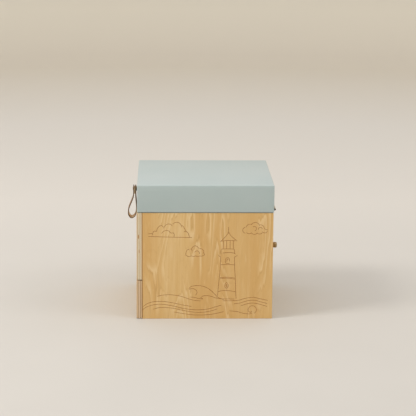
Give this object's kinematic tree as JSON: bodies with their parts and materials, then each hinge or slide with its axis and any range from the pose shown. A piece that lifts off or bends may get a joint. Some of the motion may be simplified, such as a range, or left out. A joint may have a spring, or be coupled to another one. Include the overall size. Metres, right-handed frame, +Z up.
{
  "type": "wooden toy box",
  "caption": "Square wooden toy box with an engraved side, a foot drawer, and a deep painted lid on back hinges with a leather loop.",
  "frame": {"origin": "centre of the underside of the bottom panel", "axes": "+Z up; -X is the front, with the leather loop and the drawer; +X is the back, with the hinges; -Y is the engraved side"},
  "size_m": [0.3413, 0.3016, 0.3015],
  "materials": {
    "birch_plywood": "clear satin lacquer over birch veneer",
    "drawer_plywood": "clear satin lacquer over birch veneer",
    "dowel_wood": "raw beech",
    "sage_paint": "smooth satin grey-green paint",
    "antique_brass": "darkened satin brass",
    "leather": "vegetable-tanned, dark painted edge",
    "raw_leather": "raw tan split",
    "bumper_rubber": "clear soft rubber"
  },
  "bodies": {
    "box": {"side_panel_engraved": "birch_plywood", "side_panel_plain": "birch_plywood", "back_panel": "birch_plywood", "upper_front_panel": "birch_plywood", "bottom_panel": "birch_plywood", "compartment_floor": "birch_plywood", "dowel_front_engraved_low": "dowel_wood", "dowel_front_engraved_high": "dowel_wood", "dowel_front_plain_low": "dowel_wood", "dowel_front_plain_high": "dowel_wood", "dowel_back_engraved_1": "dowel_wood", "dowel_back_engraved_2": "dowel_wood", "dowel_back_plain_1": "dowel_wood", "dowel_back_plain_2": "dowel_wood", "dowel_bottom_engraved_1": "dowel_wood", "dowel_bottom_engraved_2": "dowel_wood", "dowel_bottom_plain_1": "dowel_wood", "dowel_bottom_plain_2": "dowel_wood", "dowel_compartment_engraved_1": "dowel_wood", "dowel_compartment_engraved_2": "dowel_wood", "dowel_compartment_plain_1": "dowel_wood", "dowel_compartment_plain_2": "dowel_wood", "lid_bumper_engraved": "bumper_rubber", "lid_bumper_plain": "bumper_rubber", "hinge_body_leaf_engraved": "antique_brass", "hinge_pin_engraved": "antique_brass", "hinge_body_screw_engraved_1": "antique_brass", "hinge_body_screw_engraved_2": "antique_brass", "hinge_body_leaf_plain": "antique_brass", "hinge_pin_plain": "antique_brass", "hinge_body_screw_plain_1": "antique_brass", "hinge_body_screw_plain_2": "antique_brass", "back_knob": "antique_brass", "back_knob_screw": "antique_brass"},
    "lid": {"lid_top": "sage_paint", "lid_front_rail": "sage_paint", "lid_back_rail": "sage_paint", "lid_side_rail_engraved": "sage_paint", "lid_side_rail_plain": "sage_paint", "hinge_lid_leaf_engraved": "antique_brass", "hinge_lid_screw_engraved_1": "antique_brass", "hinge_lid_screw_engraved_2": "antique_brass", "hinge_lid_leaf_plain": "antique_brass", "hinge_lid_screw_plain_1": "antique_brass", "hinge_lid_screw_plain_2": "antique_brass", "loop_washer": "antique_brass", "loop_screw": "antique_brass", "loop_nut": "antique_brass"},
    "loop": {"leather_loop": "leather", "loop_filler": "raw_leather"},
    "drawer": {"drawer_front": "drawer_plywood", "drawer_side_engraved": "drawer_plywood", "drawer_side_plain": "drawer_plywood", "drawer_back": "drawer_plywood", "drawer_bottom": "drawer_plywood", "dowel_drawer_engraved_low": "dowel_wood", "dowel_drawer_engraved_high": "dowel_wood", "dowel_drawer_plain_low": "dowel_wood", "dowel_drawer_plain_high": "dowel_wood"}
  },
  "joints": [
    {"name": "lid_hinge", "type": "hinge", "parent": "box", "child": "lid", "pos_m": [0.1547, 0, 0.2407], "axis": [0, 1, 0], "range_deg": [0, 100]},
    {"name": "drawer_slide", "type": "slide", "parent": "box", "child": "drawer", "axis": [-1, 0, 0], "range_m": [0, 0.2]},
    {"name": "loop_swivel", "type": "hinge", "parent": "lid", "child": "loop", "pos_m": [-0.149, 0, 0.264], "axis": [1, 0, 0], "range_deg": [-35, 35]}
  ]
}
